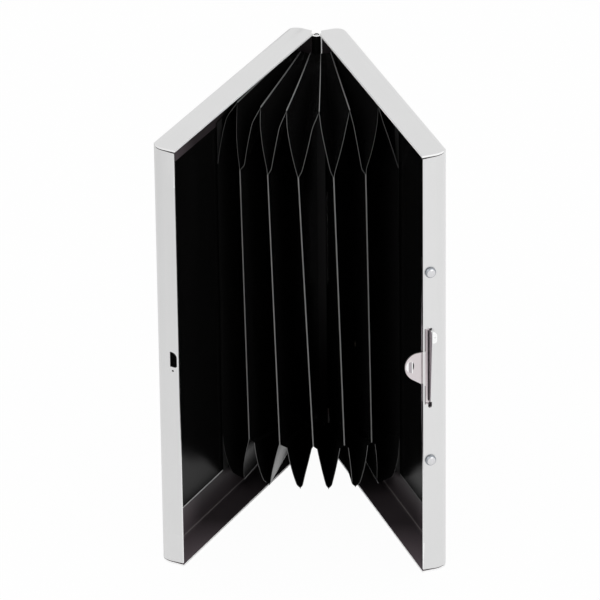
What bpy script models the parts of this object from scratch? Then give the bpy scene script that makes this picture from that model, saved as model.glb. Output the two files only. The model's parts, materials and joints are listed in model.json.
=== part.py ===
"""Metal card holder: two hinged steel trays, a fan of black film pouches and a push latch.

Metres, +Z up. The holder stands on its short ends and opens towards -Y, as in the photograph.
Every piece is drawn as it lies in the closed holder, in three directions from the hinge's axis:
across from the closing plane, forward to the latch, and height. An empty on the axis for each
side, and for each divider, then turns it to the open position.
"""

import math

import bmesh
import bpy
from mathutils import Matrix, Vector

MM = 0.001

# Driving sizes of the case
case_length = 95 * MM
case_width = 60 * MM
shell_depth = 6.0 * MM
sheet = 0.4 * MM
rim_setback = 0.3 * MM
spine_bend = 3.0 * MM
front_bend = 3.2 * MM
edge_bend = 1.2 * MM
corner_seam = 0.12 * MM
seam_stop = 0.2 * MM
opening_degrees = 48
bend_steps = 6
smooth_degrees = 40
overrun = 1.0 * MM
weld_distance = 0.001 * MM

# Hinge
pin_radius = 0.45 * MM
pin_clearance = 0.1 * MM
pin_recess = 0.35 * MM
hinge_inset = 0.6 * MM
end_knuckle = 4.5 * MM
middle_knuckle = 21 * MM
knuckle_gap = 0.3 * MM
knuckle_neck = 0.4 * MM
neck_sink = 0.02 * MM
roll_clearance = 0.35 * MM
roll_degrees = 280
roll_steps = 18
pin_sides = 20

# Film pouches
film = 0.2 * MM
film_gap = 0.3 * MM
pocket_rear = 1.4 * MM
pocket_front = 32.4 * MM
pocket_margin = 4.0 * MM
mouth_dip = 12.5 * MM
tip_setback = 4.4 * MM
fold_clearance = 0.45 * MM
divider_shares = (0.150, 0.316, 0.489, 0.665, 0.826)
side_steps = 5
side_rows = 2
side_bow = 1.6
side_draw = 3

# Latch on the right shell
latch_line = 2.0 * MM
rivet_spacing = 42.8 * MM
rivet_shank = 0.7 * MM
rivet_clearance = 0.1 * MM
rivet_head = 1.35 * MM
rivet_dome = 0.55 * MM
rivet_edge = 0.15 * MM
rivet_tail = 1.1 * MM
rivet_tail_height = 0.35 * MM
rivet_steps = 20
dome_steps = 4
spring_sheet = 0.3 * MM
spring_width = 3.4 * MM
spring_end = 3.2 * MM
spring_gap = 0.1 * MM
hook_gap = 0.2 * MM
hook_sheet = 0.3 * MM
hook_body_width = 2.4 * MM
hook_body_length = 16.8 * MM
tongue_reach = 3.3 * MM
tongue_width = 7.2 * MM
tongue_round = 2.4 * MM
lip_reach = 1.2 * MM
lip_root = 1.8 * MM
lip_slant = 0.1 * MM
slot_clearance = 1.0 * MM
slot_back_clearance = 0.3 * MM
slot_end_clearance = 0.65 * MM
catch_low = 0.8 * MM
catch_clearance = 0.2 * MM
catch_end_clearance = 0.55 * MM
bump_length = 3.1 * MM
bump_ramp = 0.95 * MM
bump_crest = 0.2 * MM
bump_below_face = 0.1 * MM
bump_clearance = 0.3 * MM

# Places worked out from the sizes above
knuckle_radius = pin_radius + pin_clearance + sheet
spine = -knuckle_radius
front = spine + case_width
wall_inside = front - sheet
floor_outside = rim_setback + shell_depth
floor_inside = floor_outside - sheet
middle_height = case_length / 2
pocket_length = case_length - 2 * pocket_margin
divider_front_length = pocket_length - 2 * mouth_dip
fan_reach = floor_inside - film_gap - film / 2
opening = math.radians(opening_degrees)
hook_outside = wall_inside - hook_gap
spring_seat = wall_inside - spring_gap
spring_crown = hook_outside - hook_sheet - spring_gap
slot_low = lip_root - slot_clearance
slot_high = lip_root + lip_slant + hook_sheet + slot_back_clearance
slot_length = hook_body_length + 2 * slot_end_clearance
catch_high = catch_low + bump_clearance + bump_crest + bump_ramp + catch_clearance
catch_length = bump_length + 2 * catch_end_clearance

# The hinge stands behind the origin, which is under the middle of the open holder
side_cos = math.cos(opening / 2)
side_sin = math.sin(opening / 2)
reach_front = side_cos * hook_outside + side_sin * tongue_reach
reach_back = spine_bend + side_sin * (floor_outside - spine_bend) - side_cos * (spine + spine_bend)
hinge_place = Vector((0, (reach_front - reach_back) / 2, 0))


def place(across, forward, height):
    """A point of the closed holder in Blender's axes."""
    return Vector((across, -forward, height))


def drawing_plane(view):
    """How an outline's two directions and its thickness lie in the closed holder."""
    across, forward, height = place(1, 0, 0), place(0, 1, 0), place(0, 0, 1)
    directions = {
        "plan": (across, forward, height),
        "end": (across, height, forward),
        "face": (forward, height, across),
    }
    return Matrix(directions[view]).transposed().to_4x4()


def arc(centre, radius, start, end, steps):
    """Points of an arc, with angles in degrees from the first axis towards the second."""
    angles = [math.radians(start + (end - start) * step / steps) for step in range(steps + 1)]
    return [(centre[0] + radius * math.cos(a), centre[1] + radius * math.sin(a)) for a in angles]


def new_object(name, mesh, group, material=None):
    """Link a mesh as an object, with its material."""
    made = bpy.data.objects.new(name, mesh)
    group.objects.link(made)
    if material:
        mesh.materials.append(material)
    return made


def close_mesh(mesh):
    """Weld a mesh's loose seams and point its faces out."""
    body = bmesh.new()
    body.from_mesh(mesh)
    bmesh.ops.remove_doubles(body, verts=body.verts, dist=weld_distance)
    bmesh.ops.recalc_face_normals(body, faces=body.faces)
    body.to_mesh(mesh)
    body.free()


def flat_solid(name, outline, view, low, high, group, material=None):
    """A flat outline with a thickness, drawn as a filled curve and made a mesh."""
    curve = bpy.data.curves.new(name + "_outline", "CURVE")
    curve.dimensions = "2D"
    curve.fill_mode = "BOTH"
    curve.extrude = (high - low) / 2
    spline = curve.splines.new("POLY")
    spline.points.add(len(outline) - 1)
    for point, (x, y) in zip(spline.points, outline):
        point.co = (x, y, 0, 1)
    spline.use_cyclic_u = True
    source = bpy.data.objects.new(name + "_outline", curve)
    group.objects.link(source)
    ready = source.evaluated_get(bpy.context.evaluated_depsgraph_get())
    mesh = bpy.data.meshes.new_from_object(ready)
    bpy.data.objects.remove(source)
    bpy.data.curves.remove(curve)
    middle = Matrix.Translation((0, 0, (low + high) / 2))
    mesh.transform(drawing_plane(view) @ middle)
    mesh.name = name
    close_mesh(mesh)
    return new_object(name, mesh, group, material)


def box_solids(name, boxes, group):
    """Boxes given by their low and high corners, as one cutter."""
    body = bmesh.new()
    for low, high in boxes:
        size = [top - bottom for bottom, top in zip(low, high)]
        centre = place(*[(bottom + top) / 2 for bottom, top in zip(low, high)])
        spread = Matrix.Translation(centre) @ Matrix.Diagonal((*size, 1))
        bmesh.ops.create_cube(body, size=1, matrix=spread)
    mesh = bpy.data.meshes.new(name)
    body.to_mesh(mesh)
    body.free()
    return new_object(name, mesh, group)


def round_solid(name, centre, radius, axis, low, high, group, material=None, sides=24):
    """A cylinder between two levels, along height (axis 2) or forward (axis 1)."""
    body = bmesh.new()
    turn = Matrix.Identity(4) if axis == 2 else Matrix.Rotation(math.radians(90), 4, "X")
    bmesh.ops.create_cone(
        body, cap_ends=True, segments=sides, radius1=radius, radius2=radius, depth=high - low, matrix=turn
    )
    middle = list(centre)
    middle[axis] = (low + high) / 2
    bmesh.ops.translate(body, verts=body.verts, vec=place(*middle))
    mesh = bpy.data.meshes.new(name)
    body.to_mesh(mesh)
    body.free()
    mesh.shade_smooth()
    mesh.set_sharp_from_angle(angle=math.radians(smooth_degrees))
    return new_object(name, mesh, group, material)


def combine(target, other, operation):
    """Add a Boolean that keeps the other solid as a hidden cutter."""
    other.hide_render = True
    other.display_type = "WIRE"
    other.parent = target.parent
    step = target.modifiers.new(other.name, "BOOLEAN")
    step.operation = operation
    step.object = other


def principled(name, colour, metallic, roughness):
    """A plain material from the part's colour."""
    material = bpy.data.materials.new(name)
    material.use_nodes = True
    shader = material.node_tree.nodes["Principled BSDF"]
    shader.inputs["Base Color"].default_value = (*colour, 1)
    shader.inputs["Metallic"].default_value = metallic
    shader.inputs["Roughness"].default_value = roughness
    return material


def tray_plan(side, wall, mouth):
    """The tray's section square to the hinge, drawn in by a wall."""
    spine_centre = (floor_outside - spine_bend, spine + spine_bend)
    front_centre = (floor_outside - front_bend, front - front_bend)
    outline = [(mouth, spine + wall)]
    outline += arc(spine_centre, spine_bend - wall, -90, 0, bend_steps)
    outline += arc(front_centre, front_bend - wall, 0, 90, bend_steps)
    outline.append((mouth, front - wall))
    return [(side * across, forward) for across, forward in outline]


def tray_section(side, wall, mouth):
    """The tray's section along the hinge, drawn in by a wall."""
    low_centre = (floor_outside - edge_bend, edge_bend)
    high_centre = (floor_outside - edge_bend, case_length - edge_bend)
    outline = [(mouth, wall)]
    outline += arc(low_centre, edge_bend - wall, -90, 0, bend_steps)
    outline += arc(high_centre, edge_bend - wall, 0, 90, bend_steps)
    outline.append((mouth, case_length - wall))
    return [(side * across, height) for across, height in outline]


def seam_boxes(side):
    """Thin slits in the front wall and the spine, under the end walls that cover their edges."""
    boxes = []
    bottom_span = (sheet, sheet + corner_seam)
    top_span = (case_length - sheet - corner_seam, case_length - sheet)
    for bottom, top in (bottom_span, top_span):
        for near, far, root in (
            (wall_inside - overrun, front + overrun, floor_outside - front_bend - seam_stop),
            (spine - overrun, spine + sheet + overrun, floor_outside - spine_bend - seam_stop),
        ):
            reach = sorted((side * (rim_setback - overrun), side * root))
            boxes.append(((reach[0], near, bottom), (reach[1], far, top)))
    return boxes


def knuckle_outline(side):
    """The rolled sheet of a knuckle, with the neck that sinks into the spine's sheet."""
    neck = side * (knuckle_radius + roll_clearance + knuckle_neck)
    turns = [math.radians(roll_degrees * step / roll_steps) for step in range(roll_steps + 1)]
    outer = [(-side * knuckle_radius * math.sin(a), -knuckle_radius * math.cos(a)) for a in turns]
    bore = pin_radius + pin_clearance
    inner = [(-side * bore * math.sin(a), -bore * math.cos(a)) for a in reversed(turns)]
    return [(neck, spine + neck_sink)] + outer + inner + [(neck, spine + sheet - neck_sink)]


def knuckle_spans():
    """The heights of the knuckles: the left shell's, then the right shell's."""
    low, high = hinge_inset, case_length - hinge_inset
    free = high - low - 2 * end_knuckle - middle_knuckle - 4 * knuckle_gap
    lengths = (end_knuckle, free / 2, middle_knuckle, free / 2, end_knuckle)
    spans = []
    for length in lengths:
        spans.append((low, low + length))
        low += length + knuckle_gap
    return spans[0::2], spans[1::2]


def shell(name, side, spans, group, cutters, holder, material):
    """One pressed tray with its rolled knuckles."""
    mouth_cut = rim_setback - overrun
    body = flat_solid(name, tray_plan(side, 0, rim_setback), "plan", 0, case_length, group, material)
    body.parent = holder
    ends = tray_section(side, 0, rim_setback)
    rounded = flat_solid(name + "_ends", ends, "end", spine - overrun, front + overrun, cutters)
    combine(body, rounded, "INTERSECT")
    plan_inside = tray_plan(side, sheet, mouth_cut)
    hollow = flat_solid(name + "_hollow", plan_inside, "plan", 0, case_length, cutters)
    hollow.parent = holder
    ends_inside = tray_section(side, sheet, mouth_cut)
    hollow_ends = flat_solid(name + "_hollow_ends", ends_inside, "end", spine, front, cutters)
    combine(hollow, hollow_ends, "INTERSECT")
    combine(body, hollow, "DIFFERENCE")
    space = knuckle_radius + roll_clearance
    clearance = round_solid(
        name + "_hinge_space", (0, 0, 0), space, 2, -overrun, case_length + overrun, cutters
    )
    combine(body, clearance, "DIFFERENCE")
    combine(body, box_solids(name + "_seams", seam_boxes(side), cutters), "DIFFERENCE")
    for number, (low, high) in enumerate(spans, 1):
        rolled = knuckle_outline(side)
        knuckle = flat_solid(f"{name}_knuckle_{number}", rolled, "plan", low, high, cutters)
        combine(body, knuckle, "UNION")
    return body


def cut_catch(body, side, cutters):
    """The hole that the latch's bump drops into."""
    low, high = catch_low, catch_high
    outline = arc((low + catch_length / 2, 0), catch_length / 2, 90, 270, bend_steps)
    outline = [(side * min(across, high), middle_height + height) for across, height in outline]
    outline.append((side * high, middle_height - catch_length / 2))
    outline.append((side * high, middle_height + catch_length / 2))
    cutter = flat_solid("catch_hole", outline, "end", wall_inside - overrun, front + overrun, cutters)
    combine(body, cutter, "DIFFERENCE")


def rivet_heights():
    """The heights of the two rivets."""
    return (middle_height - rivet_spacing / 2, middle_height + rivet_spacing / 2)


def cut_latch_openings(body, cutters):
    """The slot for the thumb lip and the two rivet holes."""
    slot = [(
        (slot_low, wall_inside - overrun, middle_height - slot_length / 2),
        (slot_high, front + overrun, middle_height + slot_length / 2),
    )]
    combine(body, box_solids("lip_slot", slot, cutters), "DIFFERENCE")
    cut_rivet_holes(body, "wall", wall_inside - overrun, front + overrun, cutters)


def cut_rivet_holes(body, name, low, high, cutters):
    """A clearance hole round each rivet's shank."""
    for number, height in enumerate(rivet_heights(), 1):
        hole = round_solid(
            f"{name}_rivet_hole_{number}",
            (latch_line, 0, height),
            rivet_shank + rivet_clearance,
            1,
            low,
            high,
            cutters,
        )
        combine(body, hole, "DIFFERENCE")


def latch_spring(group, cutters, holder, material):
    """The strip that is riveted at both ends and steps inward behind the hook."""
    end = rivet_spacing / 2 + spring_end
    seat_stop = rivet_spacing / 2 - spring_end
    crown_stop = hook_body_length / 2 + spring_end
    heights = (-end, -seat_stop, -crown_stop, crown_stop, seat_stop, end)
    levels = (spring_seat, spring_seat, spring_crown, spring_crown, spring_seat, spring_seat)
    outer = [(level, middle_height + height) for level, height in zip(levels, heights)]
    inner = [(level - spring_sheet, height) for level, height in reversed(outer)]
    low = latch_line - spring_width / 2
    strip = flat_solid("latch_spring", outer + inner, "face", low, low + spring_width, group, material)
    strip.parent = holder
    cut_rivet_holes(strip, "spring", spring_crown - overrun, spring_seat + overrun, cutters)
    return strip


def latch_hook(group, cutters, holder, material):
    """The hook's tongue and bump, and the thumb lip that reaches through the slot."""
    body_high = latch_line + spring_width / 2 - spring_gap
    body_low = body_high - hook_body_width
    half_body = hook_body_length / 2
    half_tongue = tongue_width / 2
    round_centre = tongue_round - tongue_reach
    outline = [(body_high, -half_body), (body_high, half_body)]
    outline += [(body_low, half_body), (body_low, half_tongue)]
    outline += arc((round_centre, half_tongue - tongue_round), tongue_round, 90, 180, bend_steps)
    outline += arc((round_centre, tongue_round - half_tongue), tongue_round, 180, 270, bend_steps)
    outline += [(body_low, -half_tongue), (body_low, -half_body)]
    outline = [(across, middle_height + height) for across, height in outline]
    hook_inside = hook_outside - hook_sheet
    hook = flat_solid("latch_hook", outline, "end", hook_inside, hook_outside, group, material)
    hook.parent = holder
    lip_tip = front + lip_reach
    lip = [
        (lip_root, hook_outside - hook_sheet / 2),
        (lip_root + lip_slant, lip_tip),
        (lip_root + lip_slant + hook_sheet, lip_tip),
        (lip_root + hook_sheet, hook_outside - hook_sheet / 2),
    ]
    lip_solid = flat_solid(
        "thumb_lip", lip, "plan", middle_height - half_body, middle_height + half_body, cutters
    )
    combine(hook, lip_solid, "UNION")
    crest = front - bump_below_face
    stop = -(catch_low + bump_clearance)
    bump = [
        (stop, hook_outside - hook_sheet / 2),
        (stop, crest),
        (stop - bump_crest, crest),
        (stop - bump_crest - bump_ramp, hook_outside - hook_sheet / 2),
    ]
    half_bump = bump_length / 2
    bump_low, bump_high = middle_height - half_bump, middle_height + half_bump
    bump_solid = flat_solid("hook_bump", bump, "plan", bump_low, bump_high, cutters)
    combine(hook, bump_solid, "UNION")
    rounding = arc((stop - half_bump, middle_height), half_bump, -90, 90, 2 * bend_steps)
    rounded = flat_solid("bump_rounding", rounding, "end", hook_inside, front, cutters)
    combine(bump_solid, rounded, "INTERSECT")
    return hook


def rivet(name, height, group, holder, material):
    """A domed rivet, turned about its own axis and laid along forward."""
    head_base = front + spring_gap
    tail_base = spring_seat - spring_sheet - spring_gap
    profile = [
        (rivet_head * math.sin(step * math.pi / 2 / dome_steps),
         head_base + rivet_edge + rivet_dome * math.cos(step * math.pi / 2 / dome_steps))
        for step in range(dome_steps + 1)
    ]
    profile += [(rivet_head, head_base), (rivet_shank, head_base), (rivet_shank, tail_base)]
    profile += [(rivet_tail, tail_base), (rivet_tail, tail_base - rivet_tail_height)]
    profile.append((0, tail_base - rivet_tail_height))
    mesh = bpy.data.meshes.new(name)
    points = [(radius, 0, level) for radius, level in profile]
    mesh.from_pydata(points, [(i, i + 1) for i in range(len(points) - 1)], [])
    turned = new_object(name, mesh, group, material)
    turned.parent = holder
    turned.location = place(latch_line, 0, height)
    turned.rotation_euler = (math.radians(90), 0, 0)
    screw = turned.modifiers.new("turned", "SCREW")
    screw.steps = rivet_steps
    screw.render_steps = rivet_steps
    screw.use_merge_vertices = True
    screw.merge_threshold = weld_distance
    screw.use_smooth_shade = False
    return turned


def divider_face():
    """A divider's outline: as long as the pouch at the fold, shorter at the mouth."""
    rear = pocket_length / 2 - film_gap
    mouth = divider_front_length / 2
    corners = ((pocket_rear, -rear), (pocket_front, -mouth), (pocket_front, mouth), (pocket_rear, rear))
    return [(forward, middle_height + height) for forward, height in corners]


def leaf(name, share, next_share, thickness, group, cutters, holder, material):
    """A divider that carries the fold closing the back of the pouch on its right."""
    across = fan_reach * (2 * share - 1)
    left, right = across - thickness / 2, across + thickness / 2
    plan = [(left, pocket_rear), (left, pocket_front), (right, pocket_front)]
    if next_share is None:
        plan.append((right, pocket_rear))
    else:
        fold_end = right + spacing(next_share - share, pocket_rear) - thickness - fold_clearance
        plan += [(right, pocket_rear + film), (fold_end, pocket_rear + film), (fold_end, pocket_rear)]
    panel = flat_solid(name, plan, "plan", 0, case_length, group, material)
    panel.parent = holder
    outline = flat_solid(
        name + "_face", divider_face(), "face", -floor_outside - overrun, floor_outside + overrun, cutters
    )
    combine(panel, outline, "INTERSECT")
    return panel


def spacing(share_step, forward):
    """How far apart two dividers stand at a distance from the hinge."""
    return share_step * (2 * fan_reach + forward * opening)


def fan_point(share, forward, height):
    """A point of the open fan at a share of the way from the left floor to the right."""
    across = fan_reach * (2 * share - 1)
    turn = Matrix.Rotation(opening * (share - 0.5), 3, "Z")
    return hinge_place + turn @ place(across, forward, height)


def pouch_side(name, share, next_share, end, group, material):
    """The pointed fold of film that joins two dividers above (end 1) or below (end -1)."""
    step = next_share - share
    clear = film_gap / 2 + film / 2
    mouth_start = divider_front_length / 2 + film_gap
    tip = pocket_length / 2
    body = bmesh.new()
    rows = []
    for row in range(side_rows + 1):
        reach = row / side_rows
        points = []
        for column in range(2 * side_steps + 1):
            rise = 1 - abs(column - side_steps) / side_steps
            mouth = pocket_front - tip_setback * rise ** side_draw
            forward = pocket_rear + (mouth - pocket_rear) * reach
            height = tip + (mouth_start + (tip - mouth_start) * rise - tip) * reach
            edge = clear / spacing(step, forward)
            mix = edge + (0.5 - edge) * rise ** side_bow
            mixed = share + step * (mix if column <= side_steps else 1 - mix)
            points.append(body.verts.new(fan_point(mixed, forward, middle_height + end * height)))
        rows.append(points)
    for lower, upper in zip(rows, rows[1:]):
        for column in range(2 * side_steps):
            body.faces.new((lower[column], lower[column + 1], upper[column + 1], upper[column]))
    bmesh.ops.recalc_face_normals(body, faces=body.faces)
    mesh = bpy.data.meshes.new(name)
    body.to_mesh(mesh)
    body.free()
    folded = new_object(name, mesh, group, material)
    thick = folded.modifiers.new("film", "SOLIDIFY")
    thick.thickness = film
    thick.offset = 0
    return folded


def turned_holder(name, angle, group):
    """An empty on the hinge's axis, turned to where its pieces stand open."""
    holder = bpy.data.objects.new(name, None)
    holder.location = hinge_place
    holder.rotation_euler = (0, 0, angle)
    group.objects.link(holder)
    return holder


def main():
    for old in list(bpy.data.objects):
        bpy.data.objects.remove(old)
    group = bpy.data.collections.new("metal_card_holder")
    cutters = bpy.data.collections.new("cutters")
    bpy.context.scene.collection.children.link(group)
    bpy.context.scene.collection.children.link(cutters)

    steel = principled("satin_steel", (0.62, 0.62, 0.63), 1, 0.3)
    pin_steel = principled("pin_steel", (0.45, 0.45, 0.46), 1, 0.35)
    spring_steel = principled("spring_steel", (0.6, 0.57, 0.56), 1, 0.25)
    rivet_steel = principled("rivet_steel", (0.66, 0.66, 0.66), 1, 0.22)
    black_film = principled("black_film", (0.012, 0.012, 0.013), 0, 0.2)

    left_holder = turned_holder("left_side", -opening / 2, group)
    right_holder = turned_holder("right_side", opening / 2, group)
    left_spans, right_spans = knuckle_spans()
    left = shell("left_shell", -1, left_spans, group, cutters, left_holder, steel)
    cut_catch(left, -1, cutters)
    right = shell("right_shell", 1, right_spans, group, cutters, right_holder, steel)
    cut_latch_openings(right, cutters)
    pin_low = hinge_inset + pin_recess
    pin_high = case_length - pin_low
    pin = round_solid(
        "hinge_pin", (0, 0, 0), pin_radius, 2, pin_low, pin_high, group, pin_steel, pin_sides
    )
    pin.parent = left_holder

    latch_spring(group, cutters, right_holder, spring_steel)
    latch_hook(group, cutters, right_holder, spring_steel)
    for name, height in zip(("rivet_lower", "rivet_upper"), rivet_heights()):
        rivet(name, height, group, right_holder, rivet_steel)

    shares = (0, *divider_shares, 1)
    leaf("film_left", shares[0], shares[1], film, group, cutters, left_holder, black_film)
    leaf("film_right", shares[-1], None, film, group, cutters, right_holder, black_film)
    for number, share in enumerate(divider_shares, 1):
        holder = turned_holder(f"divider_{number}_side", opening * (share - 0.5), group)
        next_share = shares[number + 1]
        leaf(f"divider_{number}", share, next_share, 2 * film, group, cutters, holder, black_film)
    for number, (share, next_share) in enumerate(zip(shares, shares[1:]), 1):
        pouch_side(f"pouch_{number}_top", share, next_share, 1, group, black_film)
        pouch_side(f"pouch_{number}_bottom", share, next_share, -1, group, black_film)


main()
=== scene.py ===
"""Metal card holder: fine surfaces, finishes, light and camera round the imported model."""
import json
import math

import bmesh
import bpy
from mathutils import Matrix, Vector, noise


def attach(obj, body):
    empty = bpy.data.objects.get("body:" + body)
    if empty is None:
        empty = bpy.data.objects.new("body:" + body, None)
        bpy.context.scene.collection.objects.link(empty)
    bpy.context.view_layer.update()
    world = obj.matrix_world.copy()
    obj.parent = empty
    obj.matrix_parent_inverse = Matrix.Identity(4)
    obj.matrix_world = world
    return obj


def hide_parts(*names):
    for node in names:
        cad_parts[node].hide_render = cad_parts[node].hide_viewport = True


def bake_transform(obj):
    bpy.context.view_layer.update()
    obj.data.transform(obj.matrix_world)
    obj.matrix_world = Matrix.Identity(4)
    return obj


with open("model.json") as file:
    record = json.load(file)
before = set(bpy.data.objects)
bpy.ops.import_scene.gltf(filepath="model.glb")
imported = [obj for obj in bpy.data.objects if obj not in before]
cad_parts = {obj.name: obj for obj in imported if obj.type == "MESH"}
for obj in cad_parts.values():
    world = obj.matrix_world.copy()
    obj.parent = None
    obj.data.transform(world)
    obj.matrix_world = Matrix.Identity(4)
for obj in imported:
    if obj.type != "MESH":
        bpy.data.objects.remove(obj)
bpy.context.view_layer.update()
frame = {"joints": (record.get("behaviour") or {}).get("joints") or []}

MM = 0.001

# Sizes of the case, as in the part
case_length = 95 * MM
case_width = 60 * MM
shell_depth = 6.0 * MM
sheet = 0.4 * MM
rim_setback = 0.3 * MM
spine_bend = 3.0 * MM
front_bend = 3.2 * MM
edge_bend = 1.2 * MM
overrun = 1.0 * MM
opening = math.radians(48)
middle_height = case_length / 2

# Fine edges of the steel
corner_round = 0.12 * MM
corner_steps = 3
touch = 0.02 * MM
weld = 0.001 * MM
rim_trim = 0.15 * MM
seam_width = 0.36 * MM
seam_end = 0.1 * MM
seam_stop = 0.2 * MM
bend_steps = 14
# Painted reflections on each tray's floor: within these reaches of the low and high ends the floor takes
# the end walls' dull coat, a painted reflection of the end walls, and a band at the low reach is a
# painted reflection of the rim.
low_painted_reflection_end = 6.9 * MM
high_painted_reflection_end = 8.3 * MM
painted_rim_reflection_band = 0.28 * MM

# Parts of a face's normal that tell which way the face looks
end_on = 0.9
side_on = 0.4
hole_side_on = 0.3
hole_top_on = 0.5
corner_low = 0.6
corner_high = 0.8

# Hinge
pin_radius = 0.45 * MM
pin_clearance = 0.1 * MM
pin_recess = 0.1 * MM
hinge_inset = 0.6 * MM
end_knuckle = 4.5 * MM
middle_knuckle = 21 * MM
knuckle_gap = 0.3 * MM
knuckle_neck = 0.58 * MM
neck_sink = 0.02 * MM
roll_clearance = 0.17 * MM
roll_degrees = 325
roll_steps = 44
roll_sides = 64
root_steps = 3
root_share = 0.9
spine_step = 0.8 * MM
pin_round = 0.1 * MM
pin_round_steps = 4

# Film pouches
film = 0.2 * MM
film_gap = 0.3 * MM
skin = 0.1 * MM
bond_gap = 0.02 * MM
pocket_rear = 1.4 * MM
pocket_front = 32.4 * MM
pocket_length = 87 * MM
mouth_dip = 12.5 * MM
glued_dip = 3.2 * MM
tip_setback = 4.4 * MM
fold_clearance = 0.22 * MM
shares = (0, 0.150, 0.316, 0.489, 0.665, 0.826, 1)
leaf_columns = 16
strip_columns = 3
leaf_rows = 28
side_columns = 22
side_rows = 18
ripple = 0.05 * MM
ripple_size = 9 * MM
ripple_seed = 1
fin_height = 0.22 * MM
fin_width = 0.13 * MM

# How the film has settled, in shares of the opening: the dividers' front corners, the folds' tips,
# and how far each leg of a fold stands off at its foot and at its shoulder
corner_shares = {
    1: (0, 0.136, 0.293, 0.457, 0.643, 0.814, 1),
    -1: (0, 0.165, 0.339, 0.521, 0.688, 0.838, 1),
}
tip_shares = {
    1: (0.071, 0.222, 0.379, 0.569, 0.747, 0.920),
    -1: (0.076, 0.242, 0.433, 0.603, 0.765, 0.908),
}
leg_shapes = {
    1: (
        ((0.08, 0.34), (0.04, 0.72)),
        ((0.30, 0.56), (0.04, 0.84)),
        ((0.22, 0.60), (0.12, 0.88)),
        ((0.16, 0.64), (0.20, 0.86)),
        ((0.06, 0.72), (0.30, 0.76)),
        ((0.02, 0.80), (0.14, 0.84)),
    ),
    -1: (
        ((0.00, 0.04), (0.02, 0.90)),
        ((0.38, 0.64), (0.04, 0.84)),
        ((0.40, 0.82), (0.08, 0.80)),
        ((0.23, 0.83), (0.27, 0.78)),
        ((0.25, 0.70), (0.28, 0.68)),
        ((0.25, 0.77), (0.00, 0.06)),
    ),
}
foot_rise = {1: 0.10, -1: 0.03}
shoulder_rise = {1: 0.78, -1: 0.92}
leg_rounding = 0.05
foot_fade = 4
tip_fade = 6

# Latch
latch_line = 2.0 * MM
rivet_spacing = 42.8 * MM
rivet_shank = 0.7 * MM
rivet_clearance = 0.1 * MM
rivet_head = 1.12 * MM
rivet_dome = 0.55 * MM
dome_steps = 18
rivet_edge = 0.15 * MM
rivet_crown = 0.86 * MM
rivet_tail = 1.1 * MM
rivet_tail_height = 0.35 * MM
spring_sheet = 0.3 * MM
spring_width = 3.4 * MM
spring_trim = 0.2 * MM
spring_end = 3.2 * MM
spring_gap = 0.1 * MM
spring_round = 0.05 * MM
hook_gap = 0.2 * MM
hook_sheet = 0.3 * MM
hook_round = 0.04 * MM
lip_touch = 0.03 * MM
hook_body_width = 2.4 * MM
hook_body_length = 16.8 * MM
tongue_reach = 3.18 * MM
tongue_rise = 0.5 * MM
tongue_round = 2.75 * MM
tongue_steps = 20
flare_round = 3.78 * MM
flare_degrees = 54
flare_steps = 12
lip_reach = 1.2 * MM
lip_low_reach = 0.35 * MM
lip_root = 1.9 * MM
lip_round = 0.5 * MM
lip_steps = 8
relief_width = 0.22 * MM
relief_stop = 0.4 * MM
curl_width = 0.95 * MM
curl_length = 2.6 * MM
curl_steps = 14
curl_low_round = 0.6 * MM
curl_low_degrees = 60
curl_low_steps = 8
curl_inside = 0.45 * MM
curl_dot = 0.13 * MM
curl_dot_drop = 1.33 * MM
curl_dot_sides = 16
slot_low = 0.8 * MM
slot_high = 2.32 * MM
slot_end_clearance = 0.65 * MM
slot_drop = 0.3 * MM
slot_foot = 0.9 * MM
slot_foot_round = 0.4 * MM
slot_foot_steps = 12
catch_low = 0.85 * MM
catch_high = 2.4 * MM
catch_top = 1.9 * MM
catch_bottom = 1.5 * MM
catch_top_round = 1.2 * MM
catch_top_steps = 16
catch_bottom_round = 0.5 * MM
catch_bottom_steps = 8
pilot_across = 1.8 * MM
pilot_drop = 2.35 * MM
pilot_radius = 0.22 * MM
pilot_sides = 24
bump_round = 1.3 * MM
bump_sides = 64
bump_stop = 1.7 * MM
bump_crest = 0.2 * MM
bump_apron = 2.45 * MM
bump_apron_rise = 0.14 * MM
bump_edge_rise = 0.08 * MM
bump_below_face = 0.1 * MM
bump_slit = 0.45 * MM
bump_slit_degrees = 60
bump_slit_steps = 16

knuckle_radius = pin_radius + pin_clearance + sheet
spine = spine_step - knuckle_radius
front = case_width - knuckle_radius
wall_inside = front - sheet
rim = rim_setback + rim_trim
floor_outside = rim_setback + shell_depth
floor_inside = floor_outside - sheet
fan_reach = floor_inside - film_gap - film / 2
hook_outside = wall_inside - hook_gap
spring_seat = wall_inside - spring_gap
spring_crown = hook_outside - hook_sheet - spring_gap
pin_joint = next(joint for joint in frame["joints"] if joint["name"] == "case_hinge")
hinge_place = Vector((*pin_joint["pos_m"][:2], 0))


def place(across, forward, height):
    """A point of the closed holder in Blender's axes."""
    return Vector((across, -forward, height))


def turned(angle):
    """Where a piece of the closed holder stands once it is turned about the hinge."""
    return Matrix.Translation(hinge_place) @ Matrix.Rotation(angle, 4, "Z")


LEFT = turned(-opening / 2)
RIGHT = turned(opening / 2)


def arc(centre, radius, start, end, steps):
    """Points of an arc, with angles in degrees from the first axis towards the second."""
    angles = [math.radians(start + (end - start) * step / steps) for step in range(steps + 1)]
    return [(centre[0] + radius * math.cos(a), centre[1] + radius * math.sin(a)) for a in angles]


# ---- node materials

# Painted light: the dull coat turns lighter towards the mouth over this length, from this place in front
# of the origin
painted_light_start = 9 * MM
painted_light_length = 18 * MM


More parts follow.
